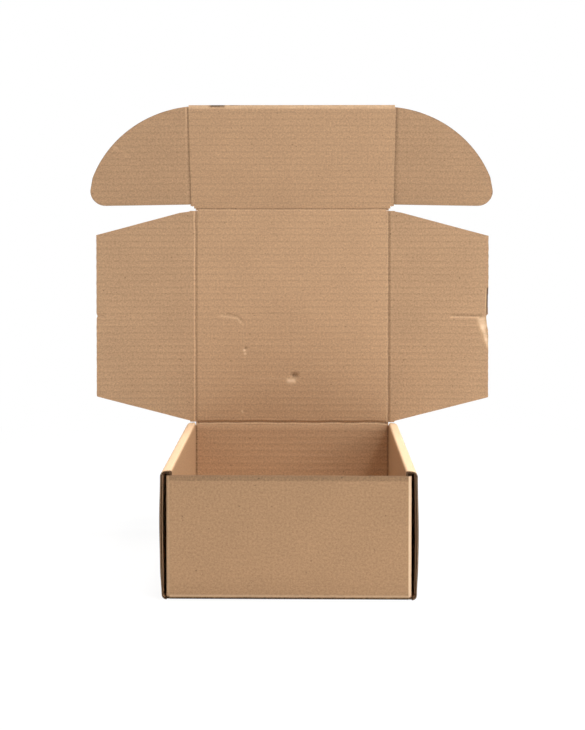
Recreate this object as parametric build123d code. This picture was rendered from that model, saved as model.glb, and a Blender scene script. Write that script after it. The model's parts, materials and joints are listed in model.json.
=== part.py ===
from build123d import *
import math
import os

# A die-cut mailer box of single-wall kraft corrugated board, standing open.
# Millimetres. The origin is the centre of the underside of the tray, +Z is up,
# the front wall faces -Y and the upright lid continues the rear wall at +Y.

# Board
board = 2.3              # thickness of the corrugated board
crease_gap = 0.3         # bare width of a crease between two panels that turn
layer_gap = 0.1          # between board layers that lie against each other
cut_gap = 0.3            # width of a die cut between neighbouring panels
fold_radius = 2.6        # outside of the folds at the base
inside_radius = 0.4      # inside of every fold
back_relief = 12.0       # degrees pared from a crease so that it can bend back a little

# Tray
box_depth = 214.8        # front face to rear face
side_height = 106.5      # floor to the flat top of the rolled side walls
front_height = 102.3     # floor to the free edge of the front wall
front_width = 201.8      # front wall from corner fold to corner fold
ear_clearance = 0.15     # each side of an ear in its slit
wall_bow = 0.2           # the outer side walls swell a little at mid height
shoulder_radius = 4.0    # outer folds of the rolled side walls
lip_radius = 1.8         # inner fold at the top of the rolled side walls
corner_radius = 2.8      # upright folds of the front and rear walls
side_setback = 0.6       # cut ends of the side walls behind the front and rear faces
corner_flap_length = 92.0
corner_flap_taper = 10.0  # the free end of a corner flap is cut back by this at its top
tab_width = 34.0
tab_spacing = 104.0      # between the middles of the two tabs of a side wall
tab_clearance = 0.25     # round a tab in its slot in the base
tab_recess = 0.2         # the tabs end this far above the floor

# Lid and its flaps
lid_lift = 0.7           # the lid's crease stands this far above the side walls
tuck_gap = 0.4           # between the front wall and the closed tuck flap
dust_clearance = 0.3     # between a closed dust flap and the side wall lining
dust_length = 98.5       # crease to free edge
dust_inset = 2.0         # a dust flap's crease stops this far short of each end of the lid
dust_taper = 24.6        # further narrowing of a dust flap at its free edge, each end
dust_lean = 3.0          # degrees that the dust flaps stand forward of the lid
dust_corner = 1.2
tuck_length = 104.5      # crease to free edge
tuck_lean = 16.7         # degrees that the tuck flap stands forward of the lid
ear_offset = 4.3         # the straight edge of an ear lies this far from the tuck crease
ear_lean = 3.0           # degrees that the ears stand forward of the tuck flap
ear_end_inset = 1.0      # an ear's round edge starts this far inside the tuck flap's edge
ear_mid = (57.9, 80.6)   # out from the ear's crease and up from the tuck crease
ear_low = (94.2, 33.5)
ear_tip = (100.0, 4.3)   # where the ear's last straight stretch meets its straight edge
ear_tip_radius = 14.5

# Places that follow from these sizes
half_depth = box_depth / 2
corner_face = front_width / 2
corner_back = corner_face - board
wall_inside = corner_face + board + 2 * ear_clearance
wall_outside = wall_inside + board
lining_back = corner_back - layer_gap
lining_face = lining_back - board
strip_underside = side_height - board
rear_shoulder = strip_underside - cut_gap
lid_half = lining_face - dust_clearance
ear_crease = corner_face + ear_clearance
lid_crease_y = half_depth - board
lid_crease_z = side_height + lid_lift
lid_length = lid_crease_y + half_depth + tuck_gap
tuck_crease_z = lid_crease_z + lid_length
relief = board * math.tan(math.radians(back_relief))
tuck_line = Axis((0, lid_crease_y, tuck_crease_z), (1, 0, 0))


def slab(plane, outline, depth):
    """Extrude a closed outline from a plane."""
    return extrude(plane * make_face(Polyline(*outline, close=True)), depth)


def rounded(face, corners):
    """Round chosen corners of a flat face: pairs of a corner's place and a radius."""
    for (u, v), radius in corners:
        corner = face.vertices().sort_by_distance(Vector(u, v, 0))[0]
        face = fillet(corner, radius)
    return face


def base_and_end_walls():
    """Base, front wall and rear wall, folded up from one strip of the sheet."""
    rear_top = lid_crease_z - crease_gap / 2
    profile = make_face(
        Polyline(
            (-half_depth, 0),
            (half_depth, 0),
            (half_depth, rear_top - relief),
            (half_depth - board, rear_top),
            (half_depth - board, board),
            (-half_depth + board, board),
            (-half_depth + board, front_height),
            (-half_depth, front_height),
            close=True,
        )
    )
    profile = rounded(
        profile,
        [
            ((-half_depth, 0), fold_radius),
            ((half_depth, 0), fold_radius),
            ((half_depth - board, board), inside_radius),
            ((-half_depth + board, board), inside_radius),
        ],
    )
    strip = extrude(Plane.YZ * profile, corner_back, both=True)
    above_shoulder = Box(corner_face, board * 3, side_height, align=(Align.MIN, Align.CENTER, Align.MIN))
    above_shoulder = Pos(lid_half - crease_gap / 2, half_depth, rear_shoulder) * above_shoulder
    return strip - above_shoulder - mirror(above_shoulder, Plane.YZ)


def corner_flaps(face_y, top):
    """The upright corner folds of an end wall, with a corner flap behind each."""
    end_y = face_y + corner_flap_length
    plan = make_face(
        Polyline(
            (-corner_face, face_y),
            (corner_face, face_y),
            (corner_face, end_y),
            (corner_back, end_y),
            (corner_back, face_y + board),
            (-corner_back, face_y + board),
            (-corner_back, end_y),
            (-corner_face, end_y),
            close=True,
        )
    )
    plan = rounded(
        plan,
        [
            ((-corner_face, face_y), corner_radius),
            ((corner_face, face_y), corner_radius),
            ((corner_back, face_y + board), inside_radius),
            ((-corner_back, face_y + board), inside_radius),
        ],
    )
    bottom = board + cut_gap
    flaps = extrude(Pos(0, 0, bottom) * plan, top - bottom)
    taper = slab(
        Plane.YZ,
        [
            (end_y - corner_flap_length / 2, top + board),
            (end_y + board, top + board),
            (end_y + board, top - corner_flap_taper),
            (end_y - corner_flap_taper, top - corner_flap_taper / 4),
            (end_y - corner_flap_length / 2, top),
        ],
        wall_outside,
    )
    return flaps - taper - mirror(taper, Plane.YZ)


def rolled_side():
    """The right side wall: outer wall, flat top strip and lining, rolled over and down."""
    inner_edge = lining_face - board * 2
    foot = board + layer_gap
    outer = Line((inner_edge, 0), (wall_outside, 0))
    wall_face = ThreePointArc(
        (wall_outside, 0),
        (wall_outside + wall_bow, side_height / 2),
        (wall_outside, side_height),
    )
    lining = Polyline(
        (wall_outside, side_height),
        (lining_face, side_height),
        (lining_face, foot),
        (lining_back, foot),
        (lining_back, strip_underside),
        (wall_inside, strip_underside),
    )
    wall_back = ThreePointArc(
        (wall_inside, strip_underside),
        (wall_inside + wall_bow, side_height / 2),
        (wall_inside, board),
    )
    floor = Polyline((wall_inside, board), (inner_edge, board), (inner_edge, 0))
    profile = make_face([outer, wall_face, lining, wall_back, floor])
    profile = rounded(
        profile,
        [
            ((wall_outside, 0), shoulder_radius),
            ((wall_outside, side_height), shoulder_radius),
            ((lining_face, side_height), lip_radius),
        ],
    )
    side_length = box_depth - 2 * side_setback
    roll = extrude(Plane.XZ.offset(-side_length / 2) * profile, side_length)
    # the lining is cut shorter than the outer wall, to stand between the end walls
    end_cut = Box(board * 2, board * 2, rear_shoulder, align=(Align.MIN, Align.MIN, Align.MIN))
    for end in (-1, 1):
        shift = half_depth - board - layer_gap
        place = Pos(lining_face - board, shift if end > 0 else -shift - board * 2, board)
        roll -= place * end_cut
    return roll


def tabs(clearance):
    """The two tabs under a lining, or with a clearance the slots that take them."""
    wide = tab_width + 2 * clearance
    thick = board + 2 * clearance
    bottom = tab_recess if clearance == 0 else -board
    high = board * 2 - bottom
    tab = Pos(lining_face + board / 2, 0, bottom + high / 2) * Box(thick, wide, high)
    return [Pos(0, side * tab_spacing / 2, 0) * tab for side in (-1, 1)]


def make_tray():
    """Base, end walls, corner flaps and rolled side walls: one folded piece of board."""
    side = rolled_side()
    tray = base_and_end_walls()
    tray += corner_flaps(-half_depth, front_height)
    tray += mirror(corner_flaps(-half_depth, rear_shoulder), Plane.XZ)
    tray += side
    tray += mirror(side, Plane.YZ)
    for slot in tabs(tab_clearance):
        tray -= slot
        tray -= mirror(slot, Plane.YZ)
    for tab in tabs(0):
        tray += tab
        tray += mirror(tab, Plane.YZ)
    return tray


def make_lid():
    """The lid panel, upright, mitred inside along the creases of its dust flaps."""
    half = lid_half - crease_gap / 2
    low = lid_crease_z + crease_gap / 2
    high = tuck_crease_z - crease_gap / 2
    plan = [
        (-half, half_depth),
        (half, half_depth),
        (half - board, lid_crease_y),
        (-half + board, lid_crease_y),
    ]
    side_view = [
        (lid_crease_y, low),
        (half_depth, low + relief),
        (half_depth, high - relief),
        (lid_crease_y, high),
    ]
    across = slab(Plane.XY.offset(low - board), plan, lid_length + 2 * board)
    upright = extrude(Plane.YZ * make_face(Polyline(*side_view, close=True)), lid_half, both=True)
    return across & upright


def make_dust_flap(side):
    """A dust flap on the left (-1) or right (+1) crease of the lid, with cut-back corners."""
    start = lid_half + crease_gap / 2
    end = lid_half + dust_length
    low = lid_crease_z + dust_inset
    high = tuck_crease_z - dust_inset
    outline = make_face(
        Polyline(
            (lid_half, low),
            (end, low + dust_taper),
            (end, high - dust_taper),
            (lid_half, high),
            close=True,
        )
    )
    corners = [((end, low + dust_taper), dust_corner), ((end, high - dust_taper), dust_corner)]
    outline = rounded(outline, corners)
    panel = extrude(Plane.XZ.offset(-half_depth) * outline, board)
    plan = [
        (start, half_depth),
        (end + board, half_depth),
        (end + board, lid_crease_y),
        (start + board, lid_crease_y),
    ]
    panel &= slab(Plane.XY.offset(low), plan, high - low)
    panel = panel.rotate(Axis((lid_half, half_depth, 0), (0, 0, -1)), dust_lean)
    return panel if side > 0 else mirror(panel, Plane.YZ)


def make_tuck_flap():
    """The tuck flap on the front edge of the lid, standing a little forward."""
    low = tuck_crease_z + crease_gap / 2
    start = tuck_crease_z + ear_offset
    high = tuck_crease_z + tuck_length
    half = ear_crease - crease_gap / 2
    side_view = [
        (lid_crease_y, low),
        (half_depth, low + relief),
        (half_depth, high),
        (lid_crease_y, high),
    ]
    plan = [
        (-half, lid_crease_y),
        (half, lid_crease_y),
        (half - relief, half_depth),
        (-half + relief, half_depth),
    ]
    outline = [
        (-lid_half, low - board),
        (lid_half, low - board),
        (lid_half, start - cut_gap * 5),
        (half, start),
        (half, high),
        (-half, high),
        (-half, start),
        (-lid_half, start - cut_gap * 5),
    ]
    panel = extrude(Plane.YZ * make_face(Polyline(*side_view, close=True)), half, both=True)
    panel &= slab(Plane.XY.offset(low), plan, tuck_length)
    panel &= extrude(Plane.XZ.offset(-half_depth) * make_face(Polyline(*outline, close=True)), board)
    return panel.rotate(tuck_line, tuck_lean)


def make_ear(side):
    """A quarter-round ear on the left (-1) or right (+1) crease of the tuck flap."""
    start = ear_crease + crease_gap / 2
    straight = tuck_crease_z + ear_offset
    top = tuck_crease_z + tuck_length - ear_end_inset
    mid = (ear_crease + ear_mid[0], tuck_crease_z + ear_mid[1])
    low = (ear_crease + ear_low[0], tuck_crease_z + ear_low[1])
    tip = (ear_crease + ear_tip[0], straight)
    outline = make_face(
        [
            Line((start, straight), (start, top)),
            ThreePointArc((start, top), mid, low),
            Line(low, tip),
            Line(tip, (start, straight)),
        ]
    )
    outline = rounded(outline, [(tip, ear_tip_radius)])
    panel = extrude(Plane.XZ.offset(-half_depth) * outline, board)
    plan = [
        (start, lid_crease_y),
        (start + ear_tip[0], lid_crease_y),
        (start + ear_tip[0], half_depth),
        (start + relief, half_depth),
    ]
    panel &= slab(Plane.XY.offset(straight), plan, tuck_length)
    panel = panel.rotate(Axis((ear_crease, lid_crease_y, 0), (0, 0, -1)), ear_lean)
    panel = panel.rotate(tuck_line, tuck_lean)
    return panel if side > 0 else mirror(panel, Plane.YZ)


nodes = {
    "tray": make_tray(),
    "lid": make_lid(),
    "dust_flap_left": make_dust_flap(-1),
    "dust_flap_right": make_dust_flap(1),
    "tuck_flap": make_tuck_flap(),
    "ear_left": make_ear(-1),
    "ear_right": make_ear(1),
}

os.makedirs("parts", exist_ok=True)
for name, shape in nodes.items():
    export_step(shape, f"parts/{name}.step")
    print(name, round(shape.volume / 1000, 2), "cm3")
print("lid crease", 0, round(lid_crease_y, 3), round(lid_crease_z, 3))
print("tuck crease", 0, round(lid_crease_y, 3), round(tuck_crease_z, 3))
print("dust crease", round(lid_half, 3), round(half_depth, 3))
print("ear crease", round(ear_crease, 3))
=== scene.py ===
# %% [markdown]
# # An open mailer box of corrugated board
# This lesson dresses a measured model of a die-cut mailer box: a tray with rolled side walls, an
# upright lid, two dust flaps, a tuck flap and two rounded ears. The measured model gives every size
# and hinge. Here it gets what makes board look like board: two paper liners with a fluted sheet
# between them, creases, washboard lines, cut edges, dents and the light of a plain studio.

# %% Load the measured model
import json
import math

import bmesh
import bpy
import numpy as np
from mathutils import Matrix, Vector


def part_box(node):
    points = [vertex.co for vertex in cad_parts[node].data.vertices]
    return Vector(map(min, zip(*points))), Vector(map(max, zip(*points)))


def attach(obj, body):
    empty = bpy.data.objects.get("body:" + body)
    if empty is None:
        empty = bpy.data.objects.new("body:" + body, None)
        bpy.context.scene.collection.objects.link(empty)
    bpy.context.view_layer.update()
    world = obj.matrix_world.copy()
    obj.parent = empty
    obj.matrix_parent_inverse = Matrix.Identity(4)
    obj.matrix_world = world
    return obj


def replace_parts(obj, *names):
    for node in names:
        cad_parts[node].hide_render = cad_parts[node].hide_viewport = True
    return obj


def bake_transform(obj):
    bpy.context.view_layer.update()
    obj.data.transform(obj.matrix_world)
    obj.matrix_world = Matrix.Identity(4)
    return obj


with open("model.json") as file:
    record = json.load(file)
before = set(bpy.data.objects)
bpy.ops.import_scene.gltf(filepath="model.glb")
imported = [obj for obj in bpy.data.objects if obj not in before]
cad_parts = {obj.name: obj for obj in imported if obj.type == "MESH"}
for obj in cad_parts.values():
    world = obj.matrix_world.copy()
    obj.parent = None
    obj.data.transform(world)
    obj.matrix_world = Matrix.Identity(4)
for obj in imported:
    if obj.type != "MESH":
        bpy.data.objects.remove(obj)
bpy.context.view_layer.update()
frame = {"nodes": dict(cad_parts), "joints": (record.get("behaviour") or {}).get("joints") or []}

MM = 0.001
print("nodes", sorted(frame["nodes"]))

# %% [markdown]
# ## Sizes
# Sizes are read from the measured model where it holds them: the hinge lines say where the creases
# are and how far each flap leans, and the tray says how deep the box is. They could be typed in
# again, but then a change of the model would leave the scene behind. The sizes of the paper are new:
# the liners are a quarter of a millimetre thick, and the flutes repeat every 6.5 mm. What only one
# panel needs, such as the radius of a fold, stands beside that panel.

# %% Sizes from the hinges and the tray
hinge = {joint["name"]: joint for joint in frame["joints"]}
LID_Y, LID_Z = hinge["lid_hinge"]["pos_m"][1:]
TUCK_Z = hinge["tuck_flap_hinge"]["pos_m"][2]
DUST_X = hinge["dust_flap_right_hinge"]["pos_m"][0]
EAR_X = hinge["ear_right_hinge"]["pos_m"][0]
HALF_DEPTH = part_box("tray")[1].y
BOARD = HALF_DEPTH - LID_Y
MIDDLE_Y = HALF_DEPTH - BOARD / 2
ear_axis = hinge["ear_left_hinge"]["axis"]
TUCK_LEAN = math.atan2(-ear_axis[1], ear_axis[2])
DUST_LEAN = math.radians(90 - hinge["dust_flap_right_hinge"]["range_deg"][1])
EAR_LEAN = math.radians(90 - hinge["ear_right_hinge"]["range_deg"][1])
dust_low, dust_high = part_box("dust_flap_right")
DUST_INSET = dust_low.z - LID_Z
print("board", round(BOARD / MM, 2), "mm, tuck flap leans", round(math.degrees(TUCK_LEAN), 1))

# %% Sizes of the paper
LINER = 0.25 * MM           # each of the two flat papers
MEDIUM = 0.22 * MM          # the fluted paper between them
PITCH = 6.5 * MM            # one flute to the next
CRUSH = 0.12 * MM           # how unevenly the flutes have been pressed
GROOVE = 3.2 * MM           # how far a cut edge can be looked into
WASHBOARD = 0.06 * MM       # how far a liner sinks between two flute tips
CREASE_BAND = 2.2 * MM      # half the width of the stretch that bends at a crease
EAR_BAND = 1.1 * MM         # the same for an ear, which turns in a narrow slit
CREASE_DEPTH = 0.55 * MM
ROW = 0.8 * MM              # mesh step across the flutes
COLUMN = 2.6 * MM           # mesh step along the flutes
HAIR = 0.01 * MM            # less than any mesh step, to tell one row or column from the next
FLUTE_HEIGHT = BOARD - 2 * LINER - MEDIUM
print("flutes", round(FLUTE_HEIGHT / MM, 2), "mm high, one every", round(PITCH / MM, 1), "mm")

# %% [markdown]
# ## The board as a surface with two coordinates
# A box of one sheet is easiest to describe on the flat sheet. Every panel is a grid of points with
# u along the flutes and v across them. A second step folds the grid into place. Relief, such as
# a washboard line or a dent, is worked out on the flat sheet too, so it never stretches.


# %% Grid lines, closer together where a fold or crease needs them
def spread(low, high, step, fine=()):
    """Places from low to high about a step apart, and finer inside each (start, end, step)."""
    marks = sorted({low, high, *(max(low, min(high, x)) for a, b, _ in fine for x in (a, b))})
    places = []
    for start, end in zip(marks[:-1], marks[1:]):
        middle = (start + end) / 2
        size = min([step] + [s for a, b, s in fine if a <= middle <= b])
        count = max(1, int(round((end - start) / size)))
        places += [start + (end - start) * k / count for k in range(count)]
    return np.array(places + [high])


def levels(rows, like):
    """The height of each row, repeated along the columns of another grid."""
    return np.repeat(rows[:, None], like.shape[1], 1)


def fanned(near, reach, away):
    """Columns that stand straight near a crease and then fan out to the reach of each row."""
    start = near[-1]
    straight = np.repeat(near[None], len(reach), 0)
    return np.concatenate([straight, start + (reach - start)[:, None] * away], 1)


print("places", spread(0, 1, 0.25, [(0.5, 1, 0.1)]).tolist())


# %% Steps, bands and turns
def smooth(t):
    """A soft step from 0 to 1."""
    t = np.clip(t, 0, 1)
    return t * t * (3 - 2 * t)


def soft_band(x, centre, width):
    """A rounded band: 1 at its centre, and next to nothing at twice its width from there."""
    return np.exp(-(((x - centre) / width) ** 2))


def turned(points, pivot, axis, angle):
    """Points turned about an axis through a pivot, each by its own angle."""
    axis = np.array(axis, float)
    p = points - np.array(pivot)
    c, s = np.cos(angle)[..., None], np.sin(angle)[..., None]
    along = (p @ axis)[..., None] * axis
    return np.array(pivot) + along + (p - along) * c + np.cross(axis, p) * s


print("soft step", [round(float(smooth(t)), 2) for t in (0, 0.25, 0.5, 1)])


# %% Soft irregular variation, the same in every run
RIPPLE_WAVES = 7
RIPPLE_SUM = 3.2            # what the sum of the waves seldom passes


def ripple(u, v, size, seed):
    """A smooth field between about -1 and 1 that changes over the given size."""
    rng = np.random.default_rng(seed)
    total = np.zeros(np.shape(u))
    for _ in range(RIPPLE_WAVES):
        angle, phase = rng.uniform(0, 2 * math.pi, 2)
        wave = 2 * math.pi / (size * rng.uniform(0.7, 1.6))
        total += np.sin(wave * (u * math.cos(angle) + v * math.sin(angle)) + phase)
    return total / RIPPLE_SUM


print("ripple along a metre", np.round(ripple(np.linspace(0, 1, 5), np.zeros(5), 0.1, 3), 2).tolist())


# %% [markdown]
# ## Relief of a panel
# Three things shape a liner. It sinks a little between two flute tips, which shows as washboard
# lines. It is pressed down along a crease. And use has left dents, scuffs and crushed corners. A
# relief function gives, for each point of a face, its height and its wear and painted shading:
# above 0 the paper is scuffed pale or carries a painted highlight, below 0 it is darkened by wear
# or carries painted shade. Its face is 1 for the inner liner, which looks into the closed box, and
# -1 for the outer one. A displacement texture could do this too, but a function of the flat sheet
# puts each dent where the photo shows it and keeps it sharp.


# %% Washboard lines
def washboard(u, v, face, strength=1.0):
    """Height of a liner between its flute tips; the two liners rest on opposite tips."""
    uneven = 1 + 0.6 * ripple(u, v, 60 * MM, 3)
    return strength * (-WASHBOARD * uneven * (1 - face * np.sin(2 * math.pi * v / PITCH)) / 2)


def flap_washboard(u, v, face, inner_strength):
    """Washboard lines of a flap: its outer liner shows them half as much as the lid's does."""
    return washboard(u, v, face, inner_strength if face > 0 else 0.5)


def plain_relief(u, v, face):
    """A panel with no crease or damage of its own."""
    return washboard(u, v, face), np.zeros_like(u)


print("washboard lines sink", round(WASHBOARD / MM, 2), "mm between two flute tips")


# %% Creases
def crease(distance, along, seed, face, depth=CREASE_DEPTH, width=1.25 * MM):
    """Height, wear and painted light of a pressed crease, which wanders a little and is kinked by the
    flutes.
    """
    zero = np.zeros_like(along)
    slow, quick = ripple(along, zero, 23 * MM, seed), ripple(along, zero, 7 * MM, seed + 1)
    wander = 0.22 * MM * slow + 0.12 * MM * quick
    x = (distance - wander) / width
    if face > 0:
        height = -depth * np.exp(-x * x) + 0.25 * depth * np.exp(-((np.abs(x) - 1.9) ** 2) / 0.4)
        # inner face: painted shade along the middle of the crease, painted highlights on its shoulders
        wear = -0.9 * soft_band(x, 0, 0.4) + 0.15 * soft_band(np.abs(x), 1.1, 0.5)
        return height, wear
    return 0.15 * depth * np.exp(-x * x), 0.25 * np.exp(-x * x)


def crease_light(distance, side):
    """Painted light beside an upright crease: a painted highlight at the box's left side and painted shade
    at its right.
    """
    return (0.4 if side < 0 else -0.5) * soft_band(distance, 1.4 * MM, 0.8 * MM)


print("creases are pressed", round(CREASE_DEPTH / MM, 2), "mm deep")


# %% Marks that use has left
def mark(u, v, start, end, width, depth, wear):
    """Height and wear or painted shading of a straight pressed line, its ends, width and depth in
    millimetres.
    """
    a, b = np.array(start) * MM, np.array(end) * MM
    d = b - a
    share = np.clip(((u - a[0]) * d[0] + (v - a[1]) * d[1]) / (d @ d), 0, 1)
    off = np.hypot(u - a[0] - d[0] * share, v - a[1] - d[1] * share)
    near = soft_band(off, 0, width * MM)
    return -depth * MM * near, wear * near


def with_marks(height, wear, u, v, marks, face):
    """Adds pressed lines to the relief of the inner face, the only one that the photo shows."""
    for place in marks if face > 0 else ():
        h, w = mark(u, v, *place)
        height, wear = height + h, wear + w
    return height, wear


# %% [markdown]
# ## A sheet of board with open cut edges
# A cut edge of corrugated board shows two thin liners with a dark gap between them, where the
# wavy medium ends. So a panel is a closed shell whose rim is a groove. The two liners stand
# out as lips, and a separate ribbon of fluted paper is laid in the groove later. Where a panel goes
# on into the next one the groove is left out. A Solidify modifier would be quicker, but it closes
# an edge with one flat strip, and the open edge is what tells board from a plank.

# %% A collector for the mesh of one piece
INSIDE, OUTSIDE, CUT = 0, 1, 2


class Sheet:
    """Vertices, faces, flat coordinates, and wear and painted shading of the panels that make one piece."""

    def __init__(self):
        self.points, self.flat, self.wear, self.faces, self.kinds = [], [], [], [], []
        self.ribbons = []

    def add(self, points, u, v, wear):
        """Adds points with their places on the flat sheet, and gives their numbers."""
        start = sum(len(p) for p in self.points)
        count = np.size(u)
        self.points.append(np.reshape(points, (count, 3)))
        self.flat.append(np.stack([np.ravel(u), np.ravel(v)], 1))
        self.wear.append(np.broadcast_to(wear, np.shape(u)).ravel())
        return start + np.arange(count).reshape(np.shape(u))

    def skin(self, a, b, c, d, kind):
        """Adds one four-sided face for each set of four point numbers."""
        quads = np.stack([a.ravel(), b.ravel(), c.ravel(), d.ravel()], 1)
        self.faces.append(quads)
        self.kinds.append(np.full(len(quads), kind))


# %% The rim of a panel
def rim_of(grid):
    """The edge of a grid as one closed loop."""
    return np.concatenate([grid[0, :], grid[1:, -1], grid[-1, -2::-1], grid[-2:0:-1, 0]])


def inward(u, v):
    """Unit directions into the panel at each point of its closed rim."""
    area = np.sum(u * np.roll(v, -1) - np.roll(u, -1) * v)
    du, dv = np.roll(u, -1) - u, np.roll(v, -1) - v
    length = np.hypot(du, dv) + 1e-12
    nu, nv = -dv / length, du / length
    nu, nv = nu + np.roll(nu, 1), nv + np.roll(nv, 1)
    size = np.maximum(np.hypot(nu, nv), 0.9)
    turn = np.sign(area)
    return turn * nu / size, turn * nv / size


def cut_past(limit):
    """Says that the rim of a panel is a cut edge wherever u lies past a limit."""

    def is_cut(u, v):
        return u > limit

    return is_cut


# %% One panel: two relief faces and a grooved rim
JOINED_RIM = 0.05 * MM      # depth of the rim where the board goes on into the next panel
DEEP_SHADE = -1.0                 # painted shade of the paper deep in a groove, which makes it dark


def board_panel(sheet, U, V, place, relief=plain_relief, is_cut=None, groove=GROOVE):
    """Adds a panel on the grid U, V. place(u, v, n) folds it, n being the height above mid-board."""
    heights, face_wear_and_shading = zip(*(relief(U, V, face) for face in (1, -1)))
    inner = sheet.add(place(U, V, BOARD / 2 + heights[0]), U, V, face_wear_and_shading[0])
    outer = sheet.add(place(U, V, -BOARD / 2 - heights[1]), U, V, face_wear_and_shading[1])
    for grid, kind in ((inner, INSIDE), (outer, OUTSIDE)):
        sheet.skin(grid[:-1, :-1], grid[:-1, 1:], grid[1:, 1:], grid[1:, :-1], kind)

    u, v = rim_of(U), rim_of(V)
    cut = np.ones_like(u) if is_cut is None else is_cut(u, v).astype(float)
    width = rim_of(np.repeat(np.ptp(U, axis=1)[:, None], U.shape[1], 1))
    depth = np.where(cut > 0.5, np.minimum(groove, 0.3 * width + 0.3 * MM), JOINED_RIM)
    iu, iv = inward(u, v)
    u_in, v_in = u + iu * depth, v + iv * depth
    lip = BOARD / 2 - LINER
    upper, lower = lip + rim_of(heights[0]), -lip - rim_of(heights[1])
    roof = lip + np.minimum(relief(u_in, v_in, 1)[0], rim_of(heights[0]))
    floor = -lip - np.minimum(relief(u_in, v_in, -1)[0], rim_of(heights[1]))
    lip_wear_and_shading = [np.minimum(rim_of(wear), 0) for wear in face_wear_and_shading]

    loops = [rim_of(inner)]
    # the two deep loops of the groove carry painted shade
    for a, b, n, wear in (
        (u, v, upper, lip_wear_and_shading[0]),
        (u_in, v_in, roof, DEEP_SHADE),
        (u_in, v_in, floor, DEEP_SHADE),
        (u, v, lower, lip_wear_and_shading[1]),
    ):
        loops.append(sheet.add(place(a, b, n), a, b, wear))
    loops.append(rim_of(outer))
    for a, b in zip(loops[:-1], loops[1:]):
        sheet.skin(a, np.roll(a, -1), np.roll(b, -1), b, CUT)
    both = (cut > 0.5) & (np.roll(cut, -1) > 0.5)
    if both.any():
        walls = ((upper, roof), (lower, floor))
        sheet.ribbons.append((u, v, iu * depth, iv * depth, walls, both, place))


# %% [markdown]
# ## Helpers for node trees
# The fluted medium is made by Geometry Nodes and the papers by shader nodes. Both kinds of tree are
# built in the script, node by node, so two helpers are made first: one adds a node with its values
# and links, and the other adds a math node.


# %% Add a node
def add_node(tree, kind, inputs=None, **settings):
    """A new node; inputs hold plain values or sockets to link."""
    node = tree.nodes.new(kind)
    for key, value in settings.items():
        setattr(node, key, value)
    for key, value in (inputs or {}).items():
        if isinstance(value, bpy.types.NodeSocket):
            tree.links.new(value, node.inputs[key])
        else:
            node.inputs[key].default_value = value
    return node


def calculate(tree, operation, *values):
    """The result of a math node on numbers or sockets."""
    return add_node(tree, "ShaderNodeMath", dict(enumerate(values)), operation=operation).outputs[0]


# %% [markdown]
# ## The fluted medium, in Geometry Nodes
# The medium is a wave that repeats every 6.5 mm, whatever shape the edge has, so it is a good
# job for Geometry Nodes. An array of one flute would be simpler, but it fits only a straight edge,
# and these edges slant and curve. So the script lays a flat ribbon along each cut edge and notes how
# far across the flutes each point lies. The node tree lifts the ribbon into a wave, crushes it a
# little, and gives it the thickness of paper.

# %% The node tree that flutes a ribbon
WELD = 0.002 * MM           # points closer than this become one
CRUSH_SCALE = 260.0         # how quickly the crushing changes along an edge


def fluting_tree():
    """A Geometry Nodes group that turns flat ribbons into fluted paper."""
    tree = bpy.data.node_groups.new("fluted medium", "GeometryNodeTree")
    face = tree.interface
    face.new_socket("Geometry", in_out="INPUT", socket_type="NodeSocketGeometry")
    sizes = {"Flute Pitch": PITCH, "Flute Height": FLUTE_HEIGHT, "Paper Thickness": MEDIUM, "Crush": CRUSH}
    for name, value in sizes.items():
        face.new_socket(name, in_out="INPUT", socket_type="NodeSocketFloat").default_value = value
    face.new_socket("Seed", in_out="INPUT", socket_type="NodeSocketInt").default_value = 4
    face.new_socket("Paper", in_out="INPUT", socket_type="NodeSocketMaterial")
    face.new_socket("Geometry", in_out="OUTPUT", socket_type="NodeSocketGeometry")
    given = tree.nodes.new("NodeGroupInput").outputs

    def calc(operation, *values):
        return calculate(tree, operation, *values)

    def noted(label, kind="FLOAT"):
        node = add_node(tree, "GeometryNodeInputNamedAttribute", {"Name": label}, data_type=kind)
        return node.outputs["Attribute"]

    turns = calc("DIVIDE", noted("across"), given["Flute Pitch"])
    wave = calc("SINE", calc("MULTIPLY", turns, 2 * math.pi))
    free = calc("MINIMUM", noted("room"), given["Flute Height"])
    height = calc("MULTIPLY", wave, calc("MULTIPLY", free, 0.5))
    here = add_node(tree, "GeometryNodeInputPosition").outputs[0]
    field = {"Vector": here, "W": calc("MULTIPLY", given["Seed"], 1.7), "Scale": CRUSH_SCALE}
    noise = add_node(tree, "ShaderNodeTexNoise", field, noise_dimensions="4D").outputs[0]
    crush = calc("MULTIPLY", calc("SUBTRACT", noise, 0.5), given["Crush"])
    up = noted("up", "FLOAT_VECTOR")
    rise = {0: up, "Scale": calc("ADD", height, crush)}
    lift = add_node(tree, "ShaderNodeVectorMath", rise, operation="SCALE").outputs[0]
    shape = {"Geometry": given["Geometry"], "Offset": lift}
    waved = add_node(tree, "GeometryNodeSetPosition", shape).outputs[0]
    paper = {"Mesh": waved, "Offset": up, "Offset Scale": given["Paper Thickness"], "Individual": False}
    thick = add_node(tree, "GeometryNodeExtrudeMesh", paper, mode="FACES").outputs["Mesh"]
    back = add_node(tree, "GeometryNodeFlipFaces", {"Mesh": waved}).outputs[0]
    join = add_node(tree, "GeometryNodeJoinGeometry", {0: back})
    tree.links.new(thick, join.inputs[0])
    closed = {"Geometry": join.outputs[0], "Distance": WELD}
    merge = add_node(tree, "GeometryNodeMergeByDistance", closed).outputs[0]
    real = add_node(tree, "GeometryNodeRealizeInstances", {0: merge}).outputs[0]
    kraft = {"Geometry": real, "Material": given["Paper"]}
    finished = add_node(tree, "GeometryNodeSetMaterial", kraft).outputs[0]
    add_node(tree, "NodeGroupOutput", {0: finished})
    return tree


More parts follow.
